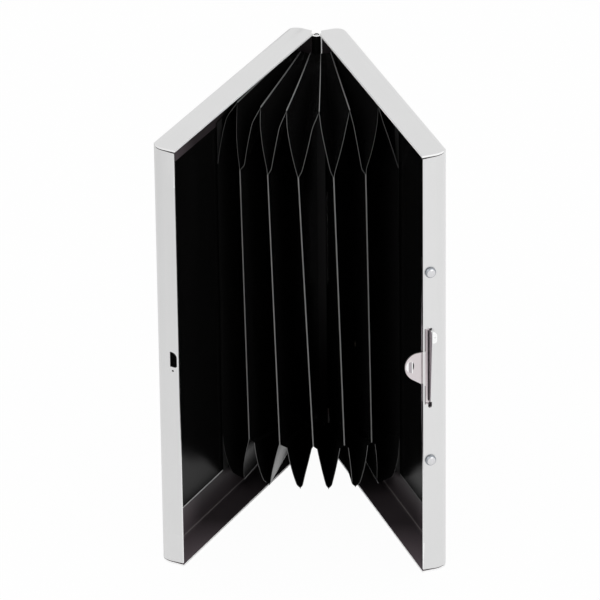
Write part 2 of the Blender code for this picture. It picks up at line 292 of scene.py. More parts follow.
class Term:
    """A shader socket that takes part in Python sums."""

    def __init__(self, tree, socket):
        self.tree = tree
        self.socket = socket

    def combine(self, operation, *others):
        """One step of arithmetic on this term and others."""
        maths = self.tree.nodes.new("ShaderNodeMath")
        maths.operation = operation
        for slot, term in zip(maths.inputs, (self, *others)):
            connect(self.tree, term, slot)
        return Term(self.tree, maths.outputs[0])

    def __add__(self, other):
        return self.combine("ADD", other)

    def __sub__(self, other):
        return self.combine("SUBTRACT", other)

    def __rsub__(self, other):
        return (self * -1) + other

    def __mul__(self, other):
        return self.combine("MULTIPLY", other)

    __radd__ = __add__
    __rmul__ = __mul__


def connect(tree, value, slot):
    """Feed a socket with a term, a number or a colour."""
    if isinstance(value, Term):
        tree.links.new(value.socket, slot)
    else:
        slot.default_value = value


class Finish:
    """One node material of the holder."""

    def __init__(self, name, **constants):
        self.material = bpy.data.materials.new(name)
        self.material.use_nodes = True
        self.tree = self.material.node_tree
        self.shader = self.tree.nodes["Principled BSDF"]
        for socket, value in constants.items():
            self.shader.inputs[socket.replace("_", " ")].default_value = value

    def node(self, kind, settings=None, output=0, **inputs):
        """Add a node: its settings first, then the values or links of its sockets."""
        made = self.tree.nodes.new("ShaderNode" + kind)
        for setting, value in (settings or {}).items():
            setattr(made, setting, value)
        for socket, value in inputs.items():
            connect(self.tree, value, made.inputs[socket.replace("_", " ")])
        return Term(self.tree, made.outputs[output])

    def places(self, scale=(1, 1, 1)):
        """Object coordinates, drawn out along the axes."""
        return self.node("Mapping", Vector=self.node("TexCoord", output=3), Scale=scale)

    def along(self, axis):
        """One of the object coordinates."""
        return self.node("SeparateXYZ", output=axis, Vector=self.node("TexCoord", output=3))

    def grain(self, size, detail=3, scale=(1, 1, 1)):
        """Noise of a given grain size, between 0 and 1."""
        places = self.places(scale)
        return self.node("TexNoise", Vector=places, Scale=1 / size, Detail=detail)

    def blend(self, factor, low, high):
        """A colour between two others."""
        made = self.tree.nodes.new("ShaderNodeMix")
        made.data_type = "RGBA"
        colours = [slot for slot in made.inputs if slot.type == "RGBA"]
        connect(self.tree, factor, made.inputs[0])
        connect(self.tree, low, colours[0])
        connect(self.tree, high, colours[1])
        result = [slot for slot in made.outputs if slot.type == "RGBA"]
        return Term(self.tree, result[0])

    def mottled(self, factor, spread, level, red=0.0, blue=0.0):
        """A near-neutral colour that strays a little to either side of its level."""
        low, high = level * (1 - spread), level * (1 + spread)
        return self.blend(factor, grey(low, red, blue), grey(high, red, blue))

    def bump(self, height, strength, distance):
        """A normal tilted by a height that varies over the surface."""
        return self.node("Bump", Height=height, Strength=strength, Distance=distance)

    def feed(self, **sockets):
        """Link what varies over the surface to the shader."""
        for socket, value in sockets.items():
            connect(self.tree, value, self.shader.inputs[socket.replace("_", " ")])
        return self.material


def grey(level, red=0.0, blue=0.0):
    """A near-neutral colour, with a little more or less red and blue."""
    return (level * (1 + red), level, level * (1 + blue), 1)


def steel_finish(name, level, roughness, red=0.0, blue=0.0, metal=1.0, brush=0.05, line=0.05 * MM):
    """Steel sheet brushed along its height, with faint cloudy patches."""
    finish = Finish(name, Metallic=metal)
    streaks = finish.grain(line, detail=4, scale=(1, 1, 0.02))
    clouds = finish.grain(7 * MM, detail=2)
    handling = finish.grain(0.9 * MM, detail=5, scale=(1, 1, 0.5))
    return finish.feed(
        Base_Color=finish.mottled(clouds, 0.015, level, red, blue),
        Roughness=(streaks - 0.5) * 0.08 + (handling - 0.5) * 0.04 + roughness,
        Normal=finish.bump(streaks, brush, 0.004 * MM),
    )


def lacquer_finish(name, level, roughness, gloss, red=0.0, blue=0.0, painted_light_level=None):
    """Lacquer over the inside of the steel, with a faint orange peel, and painted light that makes it
    lighter towards the mouth.
    """
    finish = Finish(name, Specular_IOR_Level=gloss)
    peel = finish.grain(0.5 * MM, detail=2)
    clouds = finish.grain(12 * MM, detail=3)
    tone = finish.mottled(clouds, 0.15, level, red, blue)
    if painted_light_level:
        # Painted light: lighter towards the mouth, where more light falls.
        painted_light_share = (finish.along(1) + painted_light_start) * (-1 / painted_light_length)
        tone = finish.blend(painted_light_share, tone, grey(painted_light_level, red, blue))
    return finish.feed(
        Base_Color=tone,
        Roughness=(clouds - 0.5) * 0.08 + roughness,
        Normal=finish.bump(peel, 0.05, 0.01 * MM),
    )


def film_finish(name, level, roughness, gloss=0.42):
    """Soft glossy plastic film with a fine leathery ripple."""
    finish = Finish(name, Specular_IOR_Level=gloss)
    pores = finish.grain(0.12 * MM, detail=3)
    waves = finish.grain(5 * MM, detail=2)
    return finish.feed(
        Base_Color=finish.mottled(waves, 0.2, level),
        Roughness=(waves - 0.5) * 0.1 + (pores - 0.5) * 0.05 + roughness,
        Normal=finish.bump(pores * 0.3 + waves, 0.12, 0.02 * MM),
    )


outer_steel = steel_finish("satin_steel_outside", 0.745, 0.3)
# Painted highlights: the brighter steel on the front walls' rims, the end walls' front edges, the
# knuckles' ends, the lip's curl and the bump; the near-white satin edge on the other rims.
painted_highlight_steel = steel_finish("painted_highlight_cut_edge", 0.97, 0.25, brush=0.02)
painted_highlight_rim_steel = steel_finish("painted_highlight_satin_edge", 0.95, 0.45, metal=0.2, brush=0.02)
black_lacquer = lacquer_finish("black_lacquer_inside", 0.003, 0.22, 0.07)
# The end walls' dull coat, with painted light towards the mouth.
painted_light_dull_coat = lacquer_finish(
    "dull_coat_with_painted_light", 0.026, 0.42, 0.3, red=0.22, blue=0.1, painted_light_level=0.14,
)
# Painted reflections of the rim on the floor: bright in the left tray, faint in the right.
rim_reflection_paint = lacquer_finish("painted_rim_reflection_band", 0.5, 0.3, 0.5)
faint_rim_reflection_paint = lacquer_finish("faint_painted_rim_reflection", 0.07, 0.3, 0.3)
# Painted highlight along the inside bends between the floor and the end walls.
bend_painted_highlight = lacquer_finish("painted_highlight_inside_bend", 0.1, 0.3, 0.4, red=0.1, painted_light_level=0.22)
pin_finish = steel_finish("drawn_wire_steel", 0.6, 0.3, brush=0.1, line=0.03 * MM)
spring_finish = steel_finish("spring_steel_strip", 0.62, 0.3, red=0.08, blue=0.02)
# Painted shade: darker steel on the lip's root, the bump's ramp and the spring strip.
painted_shade_steel = steel_finish("painted_shade_lip_steel", 0.42, 0.35, red=0.08, blue=0.06)
rivet_finish = steel_finish("domed_rivet_steel", 0.7, 0.25, blue=0.02, brush=0.03)
# Painted shade: a darker ring round the rivet heads' rims.
shaded_rivet_ring = steel_finish("painted_shade_rivet_border", 0.34, 0.35, red=-0.06, blue=0.08, brush=0.03)
black_film = film_finish("black_film", 0.005, 0.24, 0.12)
rubbed_film = film_finish("rubbed_black_film", 0.005, 0.5, 0)
margin_film = film_finish("glued_film_margin", 0.014, 0.4, 0.2)
# Painted highlights: the film's cut edges and welded seams, and the folds' rims at the mouth, are
# lighter grey than the film; the lower folds' rims are lighter than the upper.
cut_film_highlight = film_finish("painted_highlight_cut_film", 0.2, 0.4)
fold_rim_highlight = film_finish("painted_highlight_fold_rims", 0.085, 0.4)
lower_rim_highlight = film_finish("painted_highlight_lower_fold_rims", 0.15, 0.4)


# ---- mesh tools

def loose(name, mesh, *materials):
    """Link a mesh as an object with its materials."""
    made = bpy.data.objects.new(name, mesh)
    bpy.context.scene.collection.objects.link(made)
    for material in materials:
        mesh.materials.append(material)
    return made


def body_mesh(name, body):
    """A mesh from bmesh work, with its faces pointing out."""
    bmesh.ops.recalc_face_normals(body, faces=body.faces)
    if body.calc_volume(signed=True) < 0:
        bmesh.ops.reverse_faces(body, faces=body.faces)
    mesh = bpy.data.meshes.new(name)
    body.to_mesh(mesh)
    body.free()
    return mesh


def drawing_plane(view):
    """How an outline's two directions and its thickness lie in the closed holder."""
    across, forward, height = place(1, 0, 0), place(0, 1, 0), place(0, 0, 1)
    directions = {
        "plan": (across, forward, height),
        "end": (across, height, forward),
        "face": (forward, height, across),
    }
    return Matrix(directions[view]).transposed().to_4x4()


def prism(name, outline, view, low, high):
    """A flat outline drawn out between two levels."""
    body = bmesh.new()
    corners = [body.verts.new((x, y, low)) for x, y in outline]
    floor = body.faces.new(corners)
    raised = bmesh.ops.extrude_face_region(body, geom=[floor])
    tops = [item for item in raised["geom"] if isinstance(item, bmesh.types.BMVert)]
    bmesh.ops.translate(body, verts=tops, vec=(0, 0, high - low))
    body.transform(drawing_plane(view))
    return loose(name, body_mesh(name, body))


def box_prism(name, low, high):
    """A box by its low and high corners in the closed holder."""
    outline = [(low[0], low[1]), (high[0], low[1]), (high[0], high[1]), (low[0], high[1])]
    return prism(name, outline, "plan", low[2], high[2])


def settle(piece):
    """Apply every modifier of a piece."""
    ready = piece.evaluated_get(bpy.context.evaluated_depsgraph_get())
    mesh = bpy.data.meshes.new_from_object(ready)
    piece.modifiers.clear()
    piece.data = mesh
    return piece


def carve(piece, *steps):
    """Apply Boolean steps in turn and drop their cutters."""
    for operation, cutter in steps:
        step = piece.modifiers.new(cutter.name, "BOOLEAN")
        step.operation = operation
        step.object = cutter
    settle(piece)
    for operation, cutter in steps:
        bpy.data.objects.remove(cutter)
    return piece


def soften(piece, width, segments=2, degrees=38):
    """Round a piece's sharp edges a little."""
    bevel = piece.modifiers.new("edges", "BEVEL")
    bevel.width = width
    bevel.segments = segments
    bevel.limit_method = "ANGLE"
    bevel.angle_limit = math.radians(degrees)
    return settle(piece)


def smooth(piece, degrees=32):
    """Shade smooth, with flat faces kept flat."""
    piece.data.shade_smooth()
    piece.data.set_sharp_from_angle(angle=math.radians(degrees))
    weighted = piece.modifiers.new("normals", "WEIGHTED_NORMAL")
    weighted.keep_sharp = True
    weighted.weight = 100
    return piece


def dress(piece, placement, body, slot, *nodes):
    """Put a finished piece in place of its nodes and let it move with its body."""
    piece.data.transform(placement)
    if placement.determinant() < 0:
        piece.data.flip_normals()
    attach(piece, body)
    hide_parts(*nodes)
    return piece


# ---- the two trays

def tray_plan(wall, mouth):
    """The tray's section square to the hinge, drawn in by a wall."""
    spine_centre = (floor_outside - spine_bend, spine + spine_bend)
    front_centre = (floor_outside - front_bend, front - front_bend)
    outline = [(mouth, spine + wall)]
    outline += arc(spine_centre, spine_bend - wall, -90, 0, bend_steps)
    outline += arc(front_centre, front_bend - wall, 0, 90, bend_steps)
    return outline + [(mouth, front - wall)]


def tray_section(wall, mouth):
    """The tray's section along the hinge, drawn in by a wall."""
    low_centre = (floor_outside - edge_bend, edge_bend)
    high_centre = (floor_outside - edge_bend, case_length - edge_bend)
    outline = [(mouth, wall)]
    outline += arc(low_centre, edge_bend - wall, -90, 0, bend_steps)
    outline += arc(high_centre, edge_bend - wall, 0, 90, bend_steps)
    return outline + [(mouth, case_length - wall)]


def seam(end, wall_low, wall_high, root):
    """The wedge-shaped slit between an end wall and the wall that it covers."""
    level = sheet if end < 0 else case_length - sheet
    mouth = rim_setback - overrun
    outline = [
        (mouth, level),
        (root, level),
        (root, level - end * seam_end),
        (mouth, level - end * seam_width),
    ]
    return prism("seam", outline, "end", wall_low, wall_high)


def knuckle_outline():
    """The rolled sheet of a knuckle, with the tab that sinks into the spine's sheet."""
    neck = knuckle_radius + roll_clearance + knuckle_neck
    low, high = spine + neck_sink, spine + sheet - neck_sink
    bore = pin_radius + pin_clearance
    start = math.degrees(math.asin(low / knuckle_radius))
    outer = arc((0, 0), knuckle_radius, start, start - roll_degrees, roll_steps)
    inner = arc((0, 0), bore, start - roll_degrees, start, roll_steps)
    root = (math.sqrt(bore ** 2 - min(high, bore * root_share) ** 2), high)
    return [(neck, low)] + outer + inner[:-1 - root_steps] + [root, (neck, high)]


def knuckle_spans():
    """The heights of the knuckles: the left shell's, then the right shell's."""
    low, high = hinge_inset, case_length - hinge_inset
    free = high - low - 2 * end_knuckle - middle_knuckle - 4 * knuckle_gap
    spans = []
    for length in (end_knuckle, free / 2, middle_knuckle, free / 2, end_knuckle):
        spans.append((low, low + length))
        low += length + knuckle_gap
    return spans[0::2], spans[1::2]


def round_bar(name, across, height, radius, low, high, sides=48, along="forward"):
    """A cylinder along forward or height."""
    outline = arc((0, 0), radius, 0, 360 - 360 / sides, sides - 1)
    if along == "forward":
        return prism(name, [(across + x, height + y) for x, y in outline], "end", low, high)
    return prism(name, outline, "plan", low, high)


def tray(name, spans, openings):
    """One pressed tray with its rolled knuckles, drawn on the right-hand side."""
    mouth = rim_setback - overrun
    body = prism(name, tray_plan(0, rim_setback), "plan", 0, case_length)
    ends = prism("ends", tray_section(0, rim_setback), "end", spine - overrun, front + overrun)
    trim_end = sheet + seam_width / 2
    trim_low = (mouth, wall_inside - corner_round, trim_end)
    trim = box_prism("rim_trim", trim_low, (rim, front + overrun, case_length - trim_end))
    soften(carve(body, ("INTERSECT", ends), ("DIFFERENCE", trim)), corner_round, corner_steps)
    hollow = prism("hollow", tray_plan(sheet, mouth), "plan", 0, case_length)
    hollow_ends = prism("hollow_ends", tray_section(sheet, mouth), "end", spine, front)
    carve(hollow, ("INTERSECT", hollow_ends))
    space = knuckle_radius + roll_clearance
    low, high = -overrun, case_length + overrun
    clearance = round_bar("space", 0, 0, space, low, high, roll_sides, "height")
    front_root = floor_outside - edge_bend
    spine_root = floor_outside - spine_bend - seam_stop
    steps = [("DIFFERENCE", hollow), ("DIFFERENCE", clearance)]
    for end in (-1, 1):
        steps.append(("DIFFERENCE", seam(end, wall_inside - overrun, front + overrun, front_root)))
        steps.append(("DIFFERENCE", seam(end, spine - overrun, spine + sheet + overrun, spine_root)))
    steps += [("UNION", prism("knuckle", knuckle_outline(), "plan", *span)) for span in spans]
    steps += [("DIFFERENCE", cutter) for cutter in openings]
    return carve(body, *steps)


def finish_tray(piece, side, border, placement, body, node):
    """Sort a tray's faces by their finish, and put it in place."""
    surface = bmesh.new()
    surface.from_mesh(piece.data)
    for level in (low_painted_reflection_end, low_painted_reflection_end + painted_rim_reflection_band, case_length - high_painted_reflection_end):
        every = surface.verts[:] + surface.edges[:] + surface.faces[:]
        bmesh.ops.bisect_plane(surface, geom=every, plane_co=(0, 0, level), plane_no=(0, 0, 1))
    surface.to_mesh(piece.data)
    surface.free()
    finishes = [outer_steel, black_lacquer, painted_light_dull_coat, border, bend_painted_highlight]
    finishes += [painted_highlight_steel, painted_highlight_rim_steel]
    for material in finishes:
        piece.data.materials.append(material)
    for face in piece.data.polygons:
        face.material_index = finishes.index(tray_finish(face, border))
    smooth(piece)
    settle(piece)
    mirror = Matrix.Diagonal((side, 1, 1, 1))
    return dress(piece, placement @ mirror, body, "shell_steel", node)


def tray_finish(face, border):
    """The finish of one face of a tray that is still drawn on the right-hand side."""
    across, forward, height = face.center.x, -face.center.y, face.center.z
    end = min(height, case_length - height)
    endward = abs(face.normal.z)
    outward = face.center - place(0, case_width / 2, middle_height)
    trimmed = rim if forward > wall_inside else rim_setback
    # Painted highlights on the rims' cut edges.
    if across < trimmed + corner_round and forward > knuckle_radius:
        return painted_highlight_steel if forward > wall_inside else painted_highlight_rim_steel
    # Painted highlight on the end walls' front edges.
    if end < sheet and forward > case_width / 2 and endward < side_on:
        return painted_highlight_steel
    # Painted shade: the sides of the holes through the wall take the black lacquer, all but their upward
    # faces.
    in_wall = wall_inside + touch < forward < front - touch and end > 2 * sheet
    if in_wall and abs(face.normal.y) < hole_side_on and face.normal.z < hole_top_on:
        return black_lacquer
    # The knuckles: painted highlight on their ends, black lacquer on their rolls.
    if forward < 2 * knuckle_radius and across < knuckle_radius:
        return painted_highlight_steel if endward > end_on else black_lacquer
    if face.normal.dot(outward) > 0 or forward > wall_inside + touch or end < sheet * 0.9:
        return outer_steel
    # Painted highlight in the inside bends at the ends.
    if end < edge_bend and corner_low < endward < corner_high:
        return bend_painted_highlight
    # The end walls, the inner bends and the floor near the ends take the dull coat; on the floor near
    # the ends it is a painted reflection of the end walls.
    if height < low_painted_reflection_end or height > case_length - high_painted_reflection_end or forward > front - front_bend:
        return painted_light_dull_coat
    # Painted reflection of the rim: a band across the floor.
    if height < low_painted_reflection_end + painted_rim_reflection_band and across > floor_inside - touch:
        return border
    return black_lacquer


def catch_hole():
    """The hole that the latch's bump drops into, rounded towards the rim."""
    top_centre = (catch_low + catch_top_round, middle_height + catch_top - catch_top_round)
    low_centre = (catch_low + catch_bottom_round, middle_height - catch_bottom + catch_bottom_round)
    outline = [(catch_high, middle_height + catch_top)]
    outline += arc(top_centre, catch_top_round, 90, 180, catch_top_steps)
    outline += arc(low_centre, catch_bottom_round, 180, 270, catch_bottom_steps)
    outline.append((catch_high, middle_height - catch_bottom))
    return prism("catch_hole", outline, "end", wall_inside - overrun, front + overrun)


def pilot_hole():
    """The small round hole under the catch hole."""
    height, low, high = middle_height - pilot_drop, wall_inside - overrun, front + overrun
    return round_bar("pilot_hole", pilot_across, height, pilot_radius, low, high, pilot_sides)


def rivet_heights():
    """How high the two rivets stand."""
    return (middle_height - rivet_spacing / 2, middle_height + rivet_spacing / 2)


def rivet_holes(low, high):
    """A clearance hole round each rivet's shank."""
    radius = rivet_shank + rivet_clearance
    return [
        round_bar("rivet_hole", latch_line, height, radius, low, high) for height in rivet_heights()
    ]


def lip_slot():
    """The slot for the thumb lip."""
    half = hook_body_length / 2 + slot_end_clearance
    low, high = middle_height - half - slot_drop, middle_height + half - slot_drop
    round_centre = (slot_high - slot_foot_round, low + slot_foot_round)
    outline = [(slot_high, high), (slot_low, high), (slot_low, low + slot_foot)]
    outline.append((slot_high - 2 * slot_foot_round, low + slot_foot))
    outline += arc(round_centre, slot_foot_round, 180, 360, slot_foot_steps)
    return prism("lip_slot", outline, "end", wall_inside - overrun, front + overrun)


# ---- the latch

def latch_spring():
    """The strip that is riveted at both ends and is bent inward at its middle, where the hook sits."""
    end = rivet_spacing / 2 + spring_end
    seat_stop = rivet_spacing / 2 - spring_end
    crown_stop = hook_body_length / 2 + spring_end
    bends = [(-end, spring_seat), (-seat_stop, spring_seat), (-crown_stop, spring_crown)]
    bends += [(-height, level) for height, level in reversed(bends)]
    outer = [(level, middle_height + height) for height, level in bends]
    inner = [(level - spring_sheet, height) for level, height in reversed(outer)]
    low, high = latch_line - spring_width / 2 + spring_trim, latch_line + spring_width / 2
    strip = prism("latch_spring_strip", outer + inner, "face", low, high)
    holes = rivet_holes(spring_crown - overrun, spring_seat + overrun)
    carve(strip, *[("DIFFERENCE", hole) for hole in holes], ("DIFFERENCE", relief()))
    soften(strip, spring_round)
    for side, name in ((-1, "lower"), (1, "upper")):
        half = strip_half(strip, side, name)
        # Painted shade: the strip, seen through the slits, takes the darker steel.
        half.data.materials.append(painted_shade_steel)
        smooth(half)
        settle(half).data.transform(RIGHT)
        seat = RIGHT @ place(latch_line, spring_seat, middle_height + side * seat_stop)
        crown = RIGHT @ place(latch_line, spring_seat, middle_height + side * crown_stop)
        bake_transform(half)
        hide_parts("latch_spring")
    bpy.data.objects.remove(strip)


def strip_half(strip, side, name):
    """The strip's half below or above its middle."""
    body = bmesh.new()
    body.from_mesh(strip.data)
    every = body.verts[:] + body.edges[:] + body.faces[:]
    parted = bmesh.ops.bisect_plane(
        body, geom=every, plane_co=(0, 0, middle_height), plane_no=(0, 0, side), clear_inner=True,
    )
    cut = [item for item in parted["geom_cut"] if isinstance(item, bmesh.types.BMEdge)]
    bmesh.ops.edgenet_fill(body, edges=cut)
    return loose("latch_spring_" + name, body_mesh("latch_spring", body))


def relief():
    """The slit beside the lip's root, through the hook and the strip."""
    half = hook_body_length / 2 - relief_stop
    low = (lip_root - relief_width, spring_crown - overrun, middle_height - half)
    high = (lip_root, hook_outside + overrun, middle_height + half)
    return box_prism("relief", low, high)


def hook_plate():
    """The tongue with its rounded end and flared lower edge, behind the wall's slot."""
    body_high = latch_line + spring_width / 2 - spring_gap
    body_low = body_high - hook_body_width
    half = hook_body_length / 2
    tip = arc((tongue_round - tongue_reach, tongue_rise), tongue_round, 90, 180, tongue_steps)
    flare_centre, flare_end = (flare_round - tongue_reach, tongue_rise), 180 + flare_degrees
    flare = arc(flare_centre, flare_round, 180, flare_end, flare_steps)
    across, height = flare[-1]
    foot = height - (body_low - across) / math.tan(math.radians(flare_degrees))
    outline = [(body_high, -half), (body_high, half), (body_low, half)]
    outline += [(body_low, tongue_rise + tongue_round)] + tip + flare[1:]
    outline += [(body_low, foot), (body_low, -half)]
    outline = [(across, middle_height + height) for across, height in outline]
    return prism("latch_hook_plate", outline, "end", hook_outside - hook_sheet, hook_outside)


def thumb_lip():
    """The lip that reaches through the slot, higher at its upper end."""
    low, high = middle_height - hook_body_length / 2, middle_height + hook_body_length / 2
    root, tip = hook_outside - hook_sheet / 2, front + lip_reach
    outline = [(root, low), (front + lip_low_reach, low + lip_round), (tip, high - curl_length)]
    outline += arc((tip - lip_round, high - lip_round), lip_round, 0, 90, lip_steps)
    outline.append((root, high))
    return prism("thumb_lip", outline, "face", lip_root, lip_root + hook_sheet)


def lip_curl():
    """The lip's upper end, curled outward with a rounded corner."""
    start, tip = lip_root + hook_sheet / 2, front + lip_reach
    high = middle_height + hook_body_length / 2
    low = high - curl_length
    low_centre = (start + curl_width - curl_low_round, low + curl_low_round)
    outline = [(start, low)]
    outline += arc(low_centre, curl_low_round, -curl_low_degrees, 0, curl_low_steps)
    outline += arc((start, high - curl_width), curl_width, 0, 90, curl_steps)
    tab = prism("lip_curl", outline, "end", tip - hook_sheet, tip)
    across, height = start + curl_width / 2, high - curl_dot_drop
    dot = round_bar("dot", across, height, curl_dot, front, tip + overrun, curl_dot_sides)
    return carve(tab, ("DIFFERENCE", dot))


def bump():
    """The pressed bump that catches in the other tray's hole."""
    root, crest = hook_outside - hook_sheet / 2, front - bump_below_face
    level, reach = middle_height + tongue_rise, bump_round + overrun
    outline = [
        (-bump_stop, root),
        (-bump_stop, crest),
        (-bump_stop - bump_crest, crest),
        (-bump_apron, hook_outside + bump_apron_rise),
        (-bump_stop - reach, hook_outside + bump_edge_rise),
        (-bump_stop - reach, root),
    ]
    wedge = prism("bump", outline, "plan", level - reach, level + reach)
    low, high = root - overrun, front + overrun
    cutter = round_bar("rounding", -bump_stop, level, bump_round, low, high, bump_sides)
    return carve(wedge, ("INTERSECT", cutter))


def bump_opening():
    """The crescent that the pressed bump leaves open behind its crest."""
    centre, span = (0, middle_height + tongue_rise), bump_slit_degrees
    reach = bump_round * math.cos(math.radians(span))
    outline = []
    for across, height in arc(centre, bump_round, span, -span, bump_slit_steps):
        bulge = (across - reach) / (bump_round - reach)
        outline.append((bump_slit * bulge - bump_stop, height))
    low, high = hook_outside - hook_sheet - overrun, hook_outside + overrun
    return prism("bump_opening", outline, "end", low, high)


def latch_hook():
    """The hook: plate, lip and bump in one pressing."""
    steps = [("DIFFERENCE", bump_opening()), ("DIFFERENCE", relief())]
    steps += [("UNION", thumb_lip()), ("UNION", lip_curl()), ("UNION", bump())]
    hook = carve(hook_plate(), *steps)
    hook.name = "latch_hook_pressing"
    for material in (spring_finish, painted_shade_steel, painted_highlight_steel, outer_steel):
        hook.data.materials.append(material)
    soften(hook, hook_round)
    # Painted light on the pressing: painted shade at the lip's root and on the bump's ramp, painted
    # highlight on the lip's curl and the bump.
    for face in hook.data.polygons:
        across, forward = face.center.x, -face.center.y
        raised = forward > front and across > lip_root + lip_touch
        on_curl = forward > front + lip_reach - curl_inside
        curled = raised and on_curl and across > lip_root + hook_sheet / 2
        on_bump = forward > hook_outside + bump_edge_rise / 2 and across < -bump_stop
        on_ramp = -bump_apron < across < -bump_stop - bump_crest and abs(face.normal.z) < 0.5
        shaded = forward > hook_outside and abs(across - lip_root) < lip_touch
        if shaded or on_bump and on_ramp:
            face.material_index = 1
        else:
            face.material_index = 2 if curled or on_bump else 3 if raised else 0
    smooth(hook)
    return dress(settle(hook), RIGHT, "latch", "spring_steel", "latch_hook")


def turned_solid(name, profile, steps=64):
    """A profile of radius and level turned about the forward axis."""
    body = bmesh.new()
    points = [body.verts.new((radius, 0, level)) for radius, level in profile]
    edges = [body.edges.new(pair) for pair in zip(points, points[1:])]
    bmesh.ops.spin(
        body, geom=points + edges, cent=(0, 0, 0), axis=(0, 0, 1), angle=2 * math.pi, steps=steps,
        use_merge=True,
    )
    bmesh.ops.remove_doubles(body, verts=body.verts, dist=weld)
    body.transform(Matrix.Rotation(math.radians(90), 4, "X"))
    return loose(name, body_mesh(name, body))


def rivet(name, height, node):
    """A domed rivet through the wall and the strip."""
    head = front + spring_gap
    tail = spring_seat - spring_sheet - spring_gap
    tail_end = tail - rivet_tail_height
    dome = arc((0, 0), 1, 0, 90, dome_steps)
    profile = [(rivet_head * x, head + rivet_edge + rivet_dome * y) for y, x in dome]
    profile += [(rivet_head, head), (rivet_shank, head), (rivet_shank, tail)]
    profile += [(rivet_tail, tail), (rivet_tail, tail_end), (0, tail_end)]
    piece = turned_solid(name, profile)
    piece.data.materials.append(rivet_finish)
    piece.data.materials.append(shaded_rivet_ring)
    # Painted shade on the head's outer ring.
    for face in piece.data.polygons:
        radius = math.hypot(face.center.x, face.center.z)
        face.material_index = int(-face.center.y > head and radius > rivet_crown)
    piece.data.transform(Matrix.Translation(place(latch_line, 0, height)))
    smooth(piece, degrees=40)
    return dress(settle(piece), RIGHT, "right_half", "rivet_steel", node)


def hinge_pin():
    """The wire, with slightly rounded ends."""
    low = hinge_inset + pin_recess
    pin = round_bar("hinge_pin_wire", 0, 0, pin_radius, low, case_length - low, along="height")
    pin.data.materials.append(pin_finish)
    smooth(soften(pin, pin_round, pin_round_steps))
    return dress(settle(pin), LEFT, "left_half", "pin_steel", "hinge_pin")


# ---- the film pouches

def spacing(step, forward):
    """How far apart two dividers stand at a distance from the hinge."""
    return step * (2 * fan_reach + forward * opening)


def fan_turn(share):
    """The turn of the open fan at a share of the way from the left floor to the right."""
    return Matrix.Rotation(opening * (share - 0.5), 3, "Z")


def fan_point(share, forward, height, aside=0):
    """A point of the open fan at a share of the way from the left floor to the right."""
    across = fan_reach * (2 * share - 1) + aside
    return hinge_place + fan_turn(share) @ place(across, forward, height)


def leaf_share(number, forward, height):
    """Where a divider stands in the fan: true at the hinge, leaning at the mouth."""
    reach = (forward - pocket_rear) / (pocket_front - pocket_rear)
    corner = pocket_length / 2 - mouth_dip
    level = min(max((height - middle_height) / corner, -1), 1) / 2 + 0.5
    mouth = corner_shares[-1][number] * (1 - level) + corner_shares[1][number] * level
    return shares[number] + (mouth - shares[number]) * reach


def sheet_grid(name, rows, *materials):
    """A film from a grid of points, with its cut edges in the second material."""
    body = bmesh.new()
    grid = [[body.verts.new(point) for point in row] for row in rows]
    for lower, upper in zip(grid, grid[1:]):
        for corner in range(len(lower) - 1):
            body.faces.new((lower[corner], lower[corner + 1], upper[corner + 1], upper[corner]))
    mesh = bpy.data.meshes.new(name)
    body.to_mesh(mesh)
    body.free()
    piece = loose(name, mesh, *materials)
    thick = piece.modifiers.new("film", "SOLIDIFY")
    thick.thickness = skin
    thick.offset = 0
    thick.material_offset_rim = len(materials) - 1
    return settle(piece)


def divider(name, number, layers, body, node):
    """A panel of film layers bonded back to back, with the fold that closes the pouch behind it."""
    rear = pocket_length / 2 - film_gap
    mouth = pocket_length / 2 - (mouth_dip if layers > 1 else glued_dip)
    pitch = skin + bond_gap
    run = [
        (0, pocket_rear + (pocket_front - pocket_rear) * step / leaf_columns)
        for step in range(leaf_columns + 1)
    ]
    sheets = []
    for layer in range(layers):
        path = list(run)
        if number < len(shares) - 1 and layer + 1 == layers:
            step = shares[number + 1] - shares[number]
            end = spacing(step, pocket_rear) - film - fold_clearance
            parts = range(strip_columns, 0, -1)
            path = [(end * part / strip_columns, pocket_rear) for part in parts] + path
        aside = (layer - (layers - 1) / 2) * pitch
        rows = []
        for row in range(leaf_rows + 1):
            points = []
            for shift, forward in path:
                reach = (forward - pocket_rear) / (pocket_front - pocket_rear)
                half = rear + (mouth - rear) * reach
                height = middle_height + half * (2 * row / leaf_rows - 1)
                share = leaf_share(number, forward, height)
                points.append(fan_point(share, forward, height, aside + shift))
            rows.append(points)
        sheets.append(sheet_grid("layer", rows, black_film, cut_film_highlight if layers > 1 else black_film))
    panel = joined(name, sheets, black_film, cut_film_highlight if layers > 1 else margin_film)
    margin = (pocket_front - pocket_rear) / leaf_columns
    # The dividers' front edges take the painted highlight.
    for polygon in panel.data.polygons:
        from_hinge = polygon.center - hinge_place
        reach = math.hypot(from_hinge.x, from_hinge.y)
        if layers > 1:
            polygon.material_index = int(polygon.material_index and reach > pocket_front - film)
        else:
            beyond = abs(polygon.center.z - middle_height) > pocket_length / 2 - mouth_dip
            polygon.material_index = int(beyond and reach > pocket_front - margin)
    smooth(panel, degrees=45)
    settle(panel)
    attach(panel, body)
    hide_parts(node)


def joined(name, solids, *materials):
    """One mesh from several."""
    body = bmesh.new()
    for solid in solids:
        body.from_mesh(solid.data)
        bpy.data.objects.remove(solid)
    return loose(name, body_mesh(name, body), *materials)


